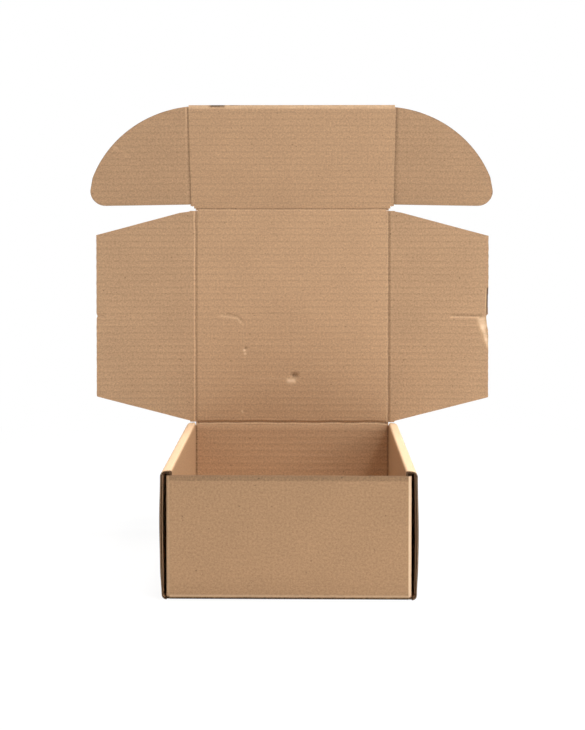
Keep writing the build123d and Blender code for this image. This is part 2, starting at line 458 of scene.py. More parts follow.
# %% Build it, and find its inputs by name
def input_id(tree, name):
    """The identifier of a named input of a node tree, which is what a modifier is set by."""
    for item in tree.interface.items_tree:
        if item.item_type == "SOCKET" and item.in_out == "INPUT" and item.name == name:
            return item.identifier
    raise KeyError(name)


FLUTING = fluting_tree()
print("fluting tree", len(FLUTING.nodes), "nodes")

# %% [markdown]
# ## Kraft paper
# Kraft liner is matt brown paper with visible fibre. Its colour varies at three scales: slow clouds
# where the pulp was thicker, small flecks of fibre about a millimetre long, and rare dark specks.
# The pattern is procedural and laid on the flat sheet, in real size. The washboard lines get a
# little colour too, because the liner is pressed darker on each flute tip. A picture of paper could
# be wrapped round the box instead, but it would repeat and show seams at the folds.


# %% Colours and the base of a paper
def linear(red, green, blue):
    """A colour as it is seen on screen, from 0 to 255, as the light values that nodes use."""
    out = []
    for channel in (red, green, blue):
        c = channel / 255
        out.append(c / 12.92 if c <= 0.04045 else ((c + 0.055) / 1.055) ** 2.4)
    return (*out, 1.0)


def new_paper(name):
    """A new material with its node tree and its shader."""
    material = bpy.data.materials.new(name)
    material.use_nodes = True
    return material, material.node_tree, material.node_tree.nodes["Principled BSDF"]


def noise_of(tree, vector, scale, detail, roughness=0.5):
    """The value of a noise texture."""
    inputs = {"Vector": vector, "Scale": scale, "Detail": detail, "Roughness": roughness}
    return add_node(tree, "ShaderNodeTexNoise", inputs).outputs[0]


def wear_and_shading_of(tree):
    """The wear and painted shading that the mesh carries: above 0 scuffed pale or a painted highlight, below
    0 darkened by wear or painted shade.
    """
    return add_node(tree, "ShaderNodeAttribute", attribute_name="wear").outputs["Fac"]


def scaled_colour(tree, colour, tone):
    """A colour made lighter or darker by a tone."""
    inputs = {0: colour[:3], "Scale": tone}
    return add_node(tree, "ShaderNodeVectorMath", inputs, operation="SCALE").outputs[0]


# %% The kraft liner
FIBRE_SCALE = (760, 1500, 1)            # fibres lie longer along the flutes than across them
SPECK_SIZE, SPECK_LIMIT = 0.13, 0.60    # a speck's size in its cell, and how rare specks are
SPECK_TONE = 0.30                       # how much darker a speck is than the paper
WEAR_AND_SHADING_TONE, PALE_SHARE = 0.28, 0.35     # how wear and painted shading change the tone, and how far pale wear and painted highlights turn it toward the scuffed colour
# the pale colour of scuffed paper, also used for painted highlights
SCUFF_AND_HIGHLIGHT = linear(232, 208, 178)


def kraft_liner(name, colour, cloud, fleck, lines):
    """A liner's paper: base colour, strength of clouds and flecks, and of the washboard lines."""
    material, tree, shader = new_paper(name)

    def calc(operation, *values):
        return calculate(tree, operation, *values)

    def swing(value, strength):
        return calc("MULTIPLY", calc("SUBTRACT", value, 0.5), strength)

    sheet = add_node(tree, "ShaderNodeUVMap", uv_map="sheet").outputs[0]
    stretched = add_node(tree, "ShaderNodeMapping", {"Vector": sheet, "Scale": FIBRE_SCALE}).outputs[0]
    clouds = noise_of(tree, sheet, 26.0, 3.0)
    mottle = noise_of(tree, sheet, 520.0, 3.0, 0.65)
    fibres = noise_of(tree, stretched, 1.0, 4.0, 0.65)
    rare = noise_of(tree, sheet, 90.0, 1.0)
    specks = add_node(tree, "ShaderNodeTexVoronoi", {"Vector": sheet, "Scale": 190.0}).outputs["Distance"]
    wear = wear_and_shading_of(tree)

    across = add_node(tree, "ShaderNodeSeparateXYZ", {0: sheet}).outputs[1]
    wave = calc("SINE", calc("MULTIPLY", across, 2 * math.pi / PITCH))
    tip = calc("POWER", calc("MAXIMUM", wave, 0.0), 3.0)
    tone = calc("ADD", swing(clouds, cloud), swing(mottle, fleck))
    tone = calc("ADD", tone, swing(fibres, fleck * 0.9))
    tone = calc("ADD", tone, calc("MULTIPLY", calc("MULTIPLY", tip, clouds), -lines))
    tone = calc("ADD", tone, calc("MULTIPLY", wear, WEAR_AND_SHADING_TONE))
    dark = calc("MULTIPLY", calc("LESS_THAN", specks, SPECK_SIZE), calc("GREATER_THAN", rare, SPECK_LIMIT))
    tone = calc("SUBTRACT", calc("ADD", tone, 1.0), calc("MULTIPLY", dark, SPECK_TONE))
    scuff_and_highlight = calc("MULTIPLY", calc("MAXIMUM", wear, 0.0), PALE_SHARE)
    paints = {0: scuff_and_highlight, 6: scaled_colour(tree, colour, tone), 7: SCUFF_AND_HIGHLIGHT}
    paint = add_node(tree, "ShaderNodeMix", paints, data_type="RGBA").outputs[2]
    tree.links.new(paint, shader.inputs["Base Color"])

    grain = calc("ADD", calc("MULTIPLY", fibres, 0.7), calc("MULTIPLY", mottle, 0.5))
    rough = {"Height": grain, "Strength": 0.22, "Distance": 0.4 * MM}
    tree.links.new(add_node(tree, "ShaderNodeBump", rough).outputs[0], shader.inputs["Normal"])
    tree.links.new(calc("ADD", swing(mottle, 0.12), 0.86), shader.inputs["Roughness"])
    shader.inputs["Specular IOR Level"].default_value = 0.25
    return material


# %% The raw paper of the cut edges and the medium
GROOVE_SHADE_TONE = 0.55                      # how much darker the painted shade makes raw paper deep between the liners


def raw_paper(name, colour):
    """Torn fibre at a cut edge: duller and rougher, with painted shade where it lies deep between the
    liners.
    """
    material, tree, shader = new_paper(name)
    here = add_node(tree, "ShaderNodeTexCoord").outputs["Object"]
    fibre = noise_of(tree, here, 900.0, 3.0)
    tone = calculate(tree, "MULTIPLY_ADD", fibre, 0.5, 0.75)
    tone = calculate(tree, "MULTIPLY_ADD", wear_and_shading_of(tree), GROOVE_SHADE_TONE, tone)
    tree.links.new(scaled_colour(tree, colour, tone), shader.inputs["Base Color"])
    rough = {"Height": fibre, "Strength": 0.4, "Distance": 0.3 * MM}
    tree.links.new(add_node(tree, "ShaderNodeBump", rough).outputs[0], shader.inputs["Normal"])
    shader.inputs["Roughness"].default_value = 0.95
    shader.inputs["Specular IOR Level"].default_value = 0.15
    return material


# %% The four papers
INNER_PAPER = kraft_liner("kraft inner liner", linear(187, 151, 117), 0.18, 0.92, 0.17)
OUTER_PAPER = kraft_liner("kraft outer liner", linear(168, 133, 100), 0.14, 0.80, 0.03)
EDGE_PAPER = raw_paper("kraft cut edge", linear(166, 132, 102))
MEDIUM_PAPER = raw_paper("fluted medium paper", linear(186, 152, 122))
print("papers", [paper.name for paper in (INNER_PAPER, OUTER_PAPER, EDGE_PAPER, MEDIUM_PAPER)])

# %% [markdown]
# ## From sheets to pieces
# A finished sheet becomes one mesh object. Its normals are set outwards, its flat faces are shaded
# smooth and its cut corners stay sharp. The ribbons of the same body become one fluted object: the
# node tree is applied to them, and what it made is kept as a plain mesh.


# %% Steps that both kinds of piece need
def clean_faces(mesh):
    """Drops the points that no face uses and turns the faces outwards."""
    work = bmesh.new()
    work.from_mesh(mesh)
    bmesh.ops.delete(work, geom=[p for p in work.verts if not p.link_faces], context="VERTS")
    bmesh.ops.recalc_face_normals(work, faces=work.faces)
    work.to_mesh(mesh)
    work.free()


def add_object(name, mesh):
    """Puts a mesh in the scene as an object."""
    piece = bpy.data.objects.new(name, mesh)
    bpy.context.collection.objects.link(piece)
    print(name, len(mesh.polygons), "faces")
    return piece


def note_on_points(mesh, label, values, kind="FLOAT", field="value"):
    """Stores values on the points of a mesh, for its nodes to read."""
    note = mesh.attributes.new(label, kind, "POINT")
    note.data.foreach_set(field, np.concatenate(values).astype(np.float32).ravel())


# %% Make the object of a sheet
SHARP_ANGLE = math.radians(42)


def make_piece(name, sheet):
    """One mesh object from the panels of a sheet, with its flat coordinates, wear and painted shading."""
    mesh = bpy.data.meshes.new(name)
    mesh.from_pydata(np.concatenate(sheet.points).tolist(), [], np.concatenate(sheet.faces).tolist())
    for paper in (INNER_PAPER, OUTER_PAPER, EDGE_PAPER):
        mesh.materials.append(paper)
    mesh.polygons.foreach_set("material_index", np.concatenate(sheet.kinds).astype(np.int32))
    flat = np.concatenate(sheet.flat)
    layer = mesh.uv_layers.new(name="sheet")
    corners = np.zeros(len(mesh.loops), np.int32)
    mesh.loops.foreach_get("vertex_index", corners)
    layer.data.foreach_set("uv", flat[corners].astype(np.float32).ravel())
    note_on_points(mesh, "wear", sheet.wear)
    clean_faces(mesh)
    mesh.shade_smooth()
    mesh.set_sharp_from_angle(angle=SHARP_ANGLE)
    return add_object(name, mesh)


# %% Flat ribbons in the cut edges
RIBBON_ROWS = (0.04, 0.3, 0.62, 0.97)   # places of a ribbon's rows, as shares of the groove's depth


def ribbon_mesh(name, sheets):
    """The flat ribbons that lie in the cut edges of these sheets."""
    points, faces, up, across, room = [], [], [], [], []
    start = 0
    for u, v, du, dv, walls, both, place in (r for s in sheets for r in s.ribbons):
        count = len(u)
        for share in RIBBON_ROWS:
            ru, rv = u + du * share, v + dv * share
            upper, lower = (rim + (deep - rim) * share for rim, deep in walls)
            middle = (upper + lower - MEDIUM) / 2
            points.append(place(ru, rv, middle))
            up.append((place(ru, rv, middle + MM) - points[-1]) / MM)
            across.append(rv)
            room.append(upper - lower - MEDIUM)
        k = np.nonzero(both)[0]
        after = (k + 1) % count
        for row in range(len(RIBBON_ROWS) - 1):
            a, b = start + row * count, start + (row + 1) * count
            faces.append(np.stack([a + k, a + after, b + after, b + k], 1))
        start += count * len(RIBBON_ROWS)
    mesh = bpy.data.meshes.new(name)
    mesh.from_pydata(np.concatenate(points).tolist(), [], np.concatenate(faces).tolist())
    note_on_points(mesh, "up", up, "FLOAT_VECTOR", "vector")
    note_on_points(mesh, "across", across)
    note_on_points(mesh, "room", room)
    return mesh


# %% Flute the ribbons
def make_medium(name, sheets):
    """The fluted paper in the cut edges of these sheets, as one plain mesh."""
    ribbon = add_object(name + " ribbon", ribbon_mesh(name + " ribbon", sheets))
    modifier = ribbon.modifiers.new("fluting", "NODES")
    modifier.node_group = FLUTING
    modifier[input_id(FLUTING, "Paper")] = MEDIUM_PAPER
    solved = ribbon.evaluated_get(bpy.context.evaluated_depsgraph_get())
    plain = bpy.data.meshes.new_from_object(solved)
    bpy.data.objects.remove(ribbon)
    plain.name = name
    clean_faces(plain)
    return add_object(name, plain)


# %% [markdown]
# ## The lid
# The lid is the upright panel in the middle. It carries a crease along its foot, where it bends on
# the rear wall, and it meets the creases of its flaps at the other three sides. Use has left marks
# in it: a bent line, a faint pressed rectangle, a torn spot and a small deep dent. They could be
# painted on, but a pressed line also catches the light, so each one is modelled as a soft valley
# or ridge with its own wear. The bent line still gets a painted highlight on one side and painted
# shade on the other, and a band of painted shade lies just above the crease at the foot.


# %% The plane of the open lid, and rows that change their width
def upright(u, v, n):
    """The flat plane of the rear wall and the lid: u is across the box and v is the height."""
    return np.stack([u, MIDDLE_Y - n, v], -1)


def stepped(rows, *widths):
    """Rows with a sharp step at each (height, half width), and the half width of each row."""
    low, high = rows[0], rows[-1]
    steps = [step for step, _ in widths if low < step < high]
    rows = np.unique(np.concatenate([rows, steps, np.array(steps) + 2 * HAIR]))
    half = np.zeros_like(rows)
    for step, width in widths:
        half = np.where(rows > step + HAIR, width, half)
    return rows, half


# %% Marks in the lid
# Each mark is its start and end on the panel, its width and depth in millimetres, and its wear or painted
# shading.
LID_MARKS = (
    # the bent line at the upper left, with a painted highlight on one side and painted shade on the other
    ((-70.7, 213.7), (-55.2, 211.4), 0.9, 0.20, 0.45),
    ((-64.8, 215.6), (-54.2, 213.2), 0.9, 0.20, -0.60),
    ((-54.3, 210.7), (-50.9, 206.8), 0.8, 0.15, 0.50),
    ((-52.6, 211.9), (-49.2, 208.0), 0.8, 0.25, -0.55),
    ((-48.0, 206.5), (-48.0, 183.0), 0.7, 0.05, 0.08),
    # the torn spot below it
    ((-46.4, 181.8), (-46.4, 181.4), 1.1, 0.40, -1.70),
    ((-47.8, 179.2), (-47.4, 179.0), 1.0, -0.1, 1.70),
    ((-46.9, 175.8), (-46.8, 175.6), 0.9, -0.1, 1.50),
    # the pressed rectangle
    ((-30, 216), (-2, 216), 0.9, 0.10, -0.15),
    ((-2, 216), (-2, 178), 0.9, 0.10, -0.15),
    ((-42, 151.5), (-4, 151.5), 0.8, 0.10, 0.20),
    ((-40, 190), (-12, 190), 6.0, 0.10, 0.0),
    # the deep dent in the middle, with its raised pale edge, and a small scuff at the foot
    ((1.5, 154), (3.5, 154), 2.5, 1.2, -1.4),
    ((-3.4, 148.4), (1.2, 148.4), 2.1, -0.4, 1.5),
    ((-50, 119), (-49, 117), 0.7, 0.15, 1.0),
)
print("lid marks", len(LID_MARKS))


# %% The lid's panel
DUST_FOOT = 0.45 * MM       # a dust flap's lower edge above the lid's crease


def lid_relief(u, v, face):
    """Washboard lines, the crease at the foot with a band of painted shade above it, and the marks."""
    height, wear = plain_relief(u, v, face)
    h, w = crease(v - LID_Z, u, 11, face)
    if face > 0:
        # painted shade in a band just above the crease
        w = w - 0.45 * soft_band(v - LID_Z, 1.6 * MM, 1.3 * MM)
    return with_marks(height + h, wear + w, u, v, LID_MARKS, face)


def make_lid():
    """The lid, full width at its foot and narrower between the creases of the dust flaps."""
    low, high = LID_Z - CREASE_BAND, TUCK_Z - CREASE_BAND
    tab_top = LID_Z + DUST_FOOT - 0.25 * MM
    fine = [(low, LID_Z + 5 * MM, 0.3 * MM), (LID_Z + 36 * MM, LID_Z + 52 * MM, 0.5 * MM)]
    rows = spread(low, high, ROW, fine)
    rows, half = stepped(rows, (0, DUST_X), (LID_Z + DUST_FOOT - 0.3 * MM, DUST_X - CREASE_BAND))
    share = spread(-1, 1, 0.022, [(-0.76, -0.46, 0.009), (-0.06, 0.06, 0.008)])
    U = half[:, None] * share

    def is_cut(u, v):
        """Only the ends of the full-width foot are open."""
        return (np.abs(u) > DUST_X - CREASE_BAND + HAIR) & (v < tab_top)

    sheet = Sheet()
    board_panel(sheet, U, levels(rows, U), upright, lid_relief, is_cut=is_cut)
    return sheet


# %% [markdown]
# ## Dust flaps
# The dust flaps are trapezoids on the sides of the lid. In the closed box they stand inside
# the side walls and keep dust out. Each flap's mesh starts on the lid's side of its crease, so
# that the crease is one bent stretch of paper. The free edge has
# been knocked: it is worn, the left flap has a small notch, and the right one is pushed in.

# %% Sizes and marks of the dust flaps
DUST_TAPER = 25.2 * MM      # height over which the slanting edges run out
DUST_LENGTH = (dust_high.x - DUST_X) / math.cos(DUST_LEAN)
TAPER_FOOT = 0.65 * MM      # start of the lower slant, above the flap's lower edge
TAPER_HEAD = {-1: 1.2 * MM, 1: 0.6 * MM}    # how much blunter the upper corner is cut
FLAP_SHADE = -0.3            # painted shade that makes the flaps' paper a little darker than the lid
KNOCK_Z, PEEL_END_Z, PEEL_Z = 212 * MM, 215.8 * MM, 226 * MM    # damage of the right flap's edge
NOTCH_Z = 213.6 * MM                                            # notch in the left flap's edge
DUST_MARKS = {
    1: (
        # the line that runs in from the edge, and the crushed edge below it
        ((62, 214.4), (91, 214.1), 0.8, 0.45, -0.9),
        ((62, 212.8), (89, 212.6), 0.9, -0.10, 0.8),
        ((90.5, 210.0), (93.0, 203.0), 2.8, 0.3, 1.2),
        ((94.0, 211.5), (95.8, 205.0), 2.4, 0.3, 1.0),
        ((93.8, 203.0), (96.8, 191.0), 2.4, 0.3, 1.3),
        ((96.6, 191.0), (98.0, 184.0), 1.5, 0.2, 0.9),
        # the peeled fold above it, with a dark line of painted shade along it and a pale line beside it
        ((97.6, 241.5), (96.9, 216.4), 0.75, 0.5, -3.0),
        ((96.0, 241.0), (95.3, 216.0), 0.7, -0.2, 0.7),
    ),
    -1: (((92, 213.6), (98, 213.6), 0.9, 0.3, -0.3), ((20, 112.5), (60, 123), 2.0, 0.15, 0.25)),
}
print("dust flap", round(DUST_LENGTH / MM, 1), "mm long")


# %% Place and free edge of a dust flap
def dust_place(side):
    """Folds a dust flap round its crease into the lean of the open box."""
    pivot = (side * DUST_X, HALF_DEPTH, 0)

    def place(u, v, n):
        points = upright(side * u, v, n)
        angle = DUST_LEAN * smooth((u - DUST_X + CREASE_BAND) / (2 * CREASE_BAND))
        return turned(points, pivot, (0, 0, -side), angle)

    return place


def edge_damage(rows, side):
    """How far the free edge of a dust flap is pushed in by knocks."""
    below = smooth((PEEL_END_Z - rows) / (0.8 * MM))
    knock = soft_band(rows, KNOCK_Z, 9 * MM) * below * 2.0
    peeled = np.exp(-(((rows - PEEL_Z) / (13 * MM)) ** 4)) * (1 - below) * 0.5
    notch = soft_band(rows, NOTCH_Z, 1.6 * MM) * 0.9
    worn = 0.12 * ripple(rows, 0 * rows, 5 * MM, 5 + side)
    return (worn + (knock + peeled if side > 0 else notch)) * MM


# %% Make a dust flap
# Where the columns stand closer, as shares of the way to the free edge.
DUST_COLUMNS = {
    -1: [(0.9, 1, 1 / 100)],
    1: [(0.6, 0.9, 1 / 80), (0.9, 1, 1 / 240)],
}


def make_dust_flap(side):
    """A dust flap; side is -1 for the left one and 1 for the right one."""
    low, high = LID_Z + DUST_FOOT, TUCK_Z - DUST_INSET
    slants = [(low, low + DUST_TAPER, 0.6 * MM), (high - DUST_TAPER, high, 0.6 * MM)]
    rows = spread(low, high, ROW, slants)
    near = spread(DUST_X - CREASE_BAND, DUST_X + 4 * MM, 0.45 * MM)
    start, end = near[-1], DUST_X + DUST_LENGTH
    away = spread(0, 1, 1 / 36, DUST_COLUMNS[side])[1:]
    from_top = high - rows + TAPER_HEAD[side] * smooth((high - rows - 1.0 * MM) / (0.5 * MM))
    from_end = np.minimum(rows - low - TAPER_FOOT, from_top)
    reach = start + (end - start) * np.clip(from_end / DUST_TAPER, 0.02, 1)
    U = fanned(near, reach - edge_damage(rows, side), away)

    def relief(u, v, face):
        h, w = crease(u - DUST_X, v, 21 + side, face)
        if face > 0:
            w = w + crease_light(u - DUST_X, side)
        height = flap_washboard(u, v, face, 1.3) + h
        return with_marks(height, w + FLAP_SHADE, u - DUST_X, v, DUST_MARKS[side], face)

    sheet = Sheet()
    is_cut = cut_past(DUST_X - CREASE_BAND + HAIR)
    board_panel(sheet, U, levels(rows, U), dust_place(side), relief, is_cut=is_cut)
    return sheet


# %% [markdown]
# ## The tuck flap
# The tuck flap leans forward from the top of the lid. It has a short full-width foot, and above it
# the creases of the ears at its sides. The free edge curls back a little and is pale: rubbed, as
# it is the edge that the hand pushes into the box, and with a painted highlight. Two dark scuffs
# lie on it near its left end.
# A bend modifier could lean it, but turning its points by their height keeps the crease pressed.

# %% Sizes and marks of the tuck flap
tuck_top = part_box("tuck_flap")[1].z - BOARD * math.sin(TUCK_LEAN)
TUCK_LENGTH = (tuck_top - TUCK_Z) / math.cos(TUCK_LEAN)
TUCK_END = TUCK_Z + TUCK_LENGTH
EAR_OFFSET = 4.3 * MM       # the ears' lower edge above the tuck crease
CURL = 5 * MM               # width of the curled edge
CURL_ANGLE = math.radians(-13)
TUCK_MARKS = (((-78.5, -0.9), (-66.5, -0.7), 1.2, 0.3, -3.0), ((-60, -0.5), (-52, -0.5), 0.6, 0.2, -0.8))
print("tuck flap", round(TUCK_LENGTH / MM, 1), "mm long")


# %% Place and relief of the tuck flap
def lean_tuck(points, v):
    """Leans the tuck flap and its ears forward round the tuck crease."""
    angle = TUCK_LEAN * smooth((v - TUCK_Z + CREASE_BAND) / (2 * CREASE_BAND))
    return turned(points, (0, LID_Y, TUCK_Z), (1, 0, 0), angle)


def tuck_place(u, v, n):
    """Curls the free edge of the tuck flap, then leans the whole flap."""
    angle = CURL_ANGLE * smooth((v - TUCK_END + CURL) / CURL)
    points = turned(upright(u, v, n), (0, MIDDLE_Y, TUCK_END - CURL), (1, 0, 0), angle)
    return lean_tuck(points, v)


def tuck_relief(u, v, face):
    """Washboard lines, the crease at the foot, the marks and the pale free edge, rubbed and with a painted
    highlight.
    """
    h, w = crease(v - TUCK_Z, u, 31, face)
    # the pale free edge: rubbed, and with a painted highlight
    rubbed_and_highlight = smooth((v - TUCK_END + 0.8 * CURL) / (1.2 * MM)) * (1 + 0.25 * ripple(u, 0 * u, 20 * MM, 8))
    h, w = with_marks(h, w, u, v - TUCK_END, TUCK_MARKS, face)
    return flap_washboard(u, v, face, 1.0) + h, w + 0.35 * rubbed_and_highlight


# %% Make the tuck flap
def make_tuck_flap():
    """The tuck flap, with a tab at each side between the dust flap and the ear."""
    low, ear_foot, tab_foot = TUCK_Z - CREASE_BAND, TUCK_Z + EAR_OFFSET, TUCK_Z - DUST_INSET
    fine = [(low, TUCK_Z + 5 * MM, 0.3 * MM), (TUCK_END - 6 * MM, TUCK_END, 0.4 * MM)]
    rows, half = stepped(
        spread(low, TUCK_END, ROW, fine),
        (0, DUST_X - CREASE_BAND),
        (tab_foot + 0.3 * MM, DUST_X),
        (TUCK_Z + 0.2 * MM, DUST_X + 1.6 * MM),
        (ear_foot - 1.5 * MM, EAR_X - 0.15 * MM),
        (ear_foot, EAR_X - EAR_BAND),
    )
    U = half[:, None] * np.linspace(-1, 1, 90)

    def is_cut(u, v):
        """The tabs and the free edge are open, and the creases of the ears are not."""
        tab = (v > tab_foot + 0.2 * MM) & (v < ear_foot + HAIR) & (np.abs(u) > DUST_X - 1 * MM)
        return tab | (v > TUCK_END - HAIR)

    sheet = Sheet()
    board_panel(sheet, U, levels(rows, U), tuck_place, tuck_relief, is_cut=is_cut)
    return sheet


# %% [markdown]
# ## The ears
# The ears are quarter rounds on the sides of the tuck flap, so that they swing into the slits
# beside the front wall without catching. The die that cut them made each outline from a large arc,
# a short straight stretch and a small round tip. The reach of each row of the mesh is worked
# out from these three, so the edge is as round as the rows are fine.

# %% Outline and marks of the ears
# All in millimetres past the crease of the ear and above the crease of the tuck flap. The large
# arc passes through three points and ends at the last one. A straight stretch goes on from there
# to the corner in EAR_TIPS, which the small radius rounds off.
EAR_ARCS = {
    -1: ((0.15, 102.9), (57.6, 80.6), (95.0, 33.5)),
    1: ((0.15, 102.1), (56.6, 80.0), (93.4, 33.5)),
}
EAR_TIPS = {-1: (101.6, EAR_OFFSET / MM), 1: (100.0, EAR_OFFSET / MM)}
EAR_TIP_RADIUS = 14.5
EAR_TOPS = {-1: 1.6 * MM, 1: 2.4 * MM}
EAR_MARKS = {-1: (((78, 67), (70, 63.5), 1.2, 0.5, 0.6), ((70, 63.5), (60, 56), 1.6, 0.3, 0.25)), 1: ()}


def circle_through(a, b, c):
    """Centre and radius of the circle through three points."""
    (ax, ay), (bx, by), (cx, cy) = a, b, c
    d = 2 * (ax * (by - cy) + bx * (cy - ay) + cx * (ay - by))
    x = ((ax**2 + ay**2) * (by - cy) + (bx**2 + by**2) * (cy - ay) + (cx**2 + cy**2) * (ay - by)) / d
    y = ((ax**2 + ay**2) * (cx - bx) + (bx**2 + by**2) * (ax - cx) + (cx**2 + cy**2) * (bx - ax)) / d
    return (x, y), math.hypot(ax - x, ay - y)


def ear_reach(q, side):
    """How far an ear reaches from its crease, in millimetres, at a height above the tuck crease."""
    (cx, cy), radius = circle_through(*EAR_ARCS[side])
    arc = cx + np.sqrt(np.maximum(radius**2 - (q - cy) ** 2, 0))
    (lx, ly), (tx, ty) = EAR_ARCS[side][2], EAR_TIPS[side]
    line = lx + (q - ly) * (tx - lx) / (ty - ly)
    corner = math.atan2(ly - ty, tx - lx)
    centre = tx - EAR_TIP_RADIUS / math.tan(corner / 2), ty + EAR_TIP_RADIUS
    touch = centre[1] + EAR_TIP_RADIUS * math.cos(corner)
    tip = centre[0] + np.sqrt(np.maximum(EAR_TIP_RADIUS**2 - (q - centre[1]) ** 2, 0))
    return np.where(q > ly, arc, np.where(q > touch, line, tip))


print("left ear reaches", round(float(ear_reach(np.array(18.0), -1)), 1), "mm past its crease")


# %% Make an ear
def ear_place(side):
    """Folds an ear round its crease, then leans it with the tuck flap."""
    pivot = (side * EAR_X, LID_Y, 0)

    def place(u, v, n):
        points = upright(side * u, v, n)
        angle = EAR_LEAN * smooth((u - EAR_X + EAR_BAND) / (2 * EAR_BAND))
        return lean_tuck(turned(points, pivot, (0, 0, -side), angle), v)

    return place


def ear_edge(v, side):
    """Where the rim of an ear lies at each height of the flat sheet."""
    return EAR_X + ear_reach((v - TUCK_Z) / MM, side) * MM


def make_ear(side):
    """An ear; side is -1 for the left one and 1 for the right one."""
    low, high = TUCK_Z + EAR_OFFSET, TUCK_END - EAR_TOPS[side]
    rows = spread(low, high, ROW, [(low, low + 4 * MM, 0.25 * MM), (high - 8 * MM, high, 0.35 * MM)])
    near = spread(EAR_X - EAR_BAND, EAR_X + 0.2 * MM, 0.45 * MM)
    away = np.concatenate([np.linspace(0, 0.985, 39)[1:], [0.993, 1]])
    U = fanned(near, np.maximum(ear_edge(rows, side), near[-1] + 0.1 * MM), away)

    def relief(u, v, face):
        h, w = crease(u - EAR_X, v, 41 + side, face)
        if face > 0:
            w = w + crease_light(u - EAR_X, side)
            # painted shade along the ear's lower edge and along its rim away from the crease
            w = w - 0.9 * soft_band(v, low, 0.5 * MM)
            w = w - 0.7 * soft_band(ear_edge(v, side) - u, 0, 0.7 * MM) * (u > EAR_X + 6 * MM)
        height = flap_washboard(u, v, face, 1.6) + h
        return with_marks(height, w + FLAP_SHADE, u - EAR_X, v - TUCK_Z, EAR_MARKS[side], face)

    sheet = Sheet()
    board_panel(sheet, U, levels(rows, U), ear_place(side), relief, is_cut=cut_past(EAR_X - EAR_BAND + HAIR))
    return sheet


# %% [markdown]
# ## The tray
# The tray is folded and locked. Its base runs up into the front and rear walls, whose ends turn
# back as corner flaps. The side walls go up, over a narrow flat strip and down again as a lining,
# so the corner flaps are caught between two layers. Each folded stretch follows a path: straight
# runs joined by arcs. A bend modifier could fold a flat panel too, but a path keeps the length of
# the board and can turn several times.


# %% A folded path
class FoldPath:
    """A line of straight runs and bends in a plane, measured along the middle of the board."""

    def __init__(self, start, heading, steps):
        """Each step is a (length, 0, 0) run or a (0, angle, radius) bend; angles turn left."""
        step = 0.05 * MM
        x, y, direction = *start, heading
        places, headings, marks, s = [(x, y)], [direction], [0.0], 0.0
        for length, angle, radius in steps:
            size = length if radius == 0 else abs(angle) * radius
            count = max(1, int(math.ceil(size / step)))
            for _ in range(count):
                turn = angle / count
                move = size / count
                x += move * math.cos(direction + turn / 2)
                y += move * math.sin(direction + turn / 2)
                direction += turn
                s += move
                places.append((x, y))
                headings.append(direction)
                marks.append(s)
        self.s, self.length = np.array(marks), s
        self.xy, self.heading = np.array(places), np.array(headings)

    def at(self, s, n):
        """The point at a distance along the path, raised n to its left."""
        x = np.interp(s, self.s, self.xy[:, 0])
        y = np.interp(s, self.s, self.xy[:, 1])
        h = np.interp(s, self.s, self.heading)
        return x - n * np.sin(h), y + n * np.cos(h)


QUARTER = math.pi / 2
quarter_bend = FoldPath((0, 0), 0.0, [(0, QUARTER, 10 * MM)])
print("a quarter bend of 10 mm radius is", round(quarter_bend.length / MM, 2), "mm long")

# %% Sizes of the tray
MID = BOARD / 2
FOLD_RADIUS = 2.6 * MM                          # outside radius of the folds of the base
CORNER_RADIUS = 2.8 * MM                        # of the upright corners
SHOULDER_RADIUS = 4.0 * MM                      # of the foot and shoulder of a side wall
LIP_RADIUS = 1.8 * MM                           # of the fold into the lining
FRONT_HEIGHT = 102.3 * MM
SIDE_HEIGHT = LID_Z - 0.7 * MM
SHOULDER_Z = SIDE_HEIGHT - BOARD - 0.3 * MM     # top of the rear corner flaps
CORNER_FACE = EAR_X - 0.15 * MM                 # outer face of the corner flaps
WALL_OUTSIDE = CORNER_FACE + 2 * BOARD + 0.3 * MM
LINING_FACE = CORNER_FACE - 2 * BOARD - 0.1 * MM
FLAP_LENGTH = 92 * MM
HALF_FLAT = HALF_DEPTH - FOLD_RADIUS            # half the flat length of the base
HALF_BASE = WALL_OUTSIDE - SHOULDER_RADIUS      # half its flat width, where a side wall starts
HALF_WALL = CORNER_FACE - CORNER_RADIUS         # half the flat width of an end wall
FOLD_BEND, CORNER_BEND = FOLD_RADIUS - MID, CORNER_RADIUS - MID
print("tray", round(2 * WALL_OUTSIDE / MM, 1), "by", round(2 * HALF_DEPTH / MM, 1), "mm")

# %% [markdown]
# ## Front wall
# The front wall is the panel that the hand meets first. Its upper edge is crushed outwards and
# carries painted shade, and a painted highlight and a line of painted shade run along its foot,
# where it folds into the base. They could be pieces of their own, but they are the same paper, so
# they are painted shading and lean on one grid.

# %% Front wall
TOP_BAND = 4.5 * MM         # height of the crushed band at the upper edge
LEAN_OUT = 0.3 * MM         # how far that band leans out


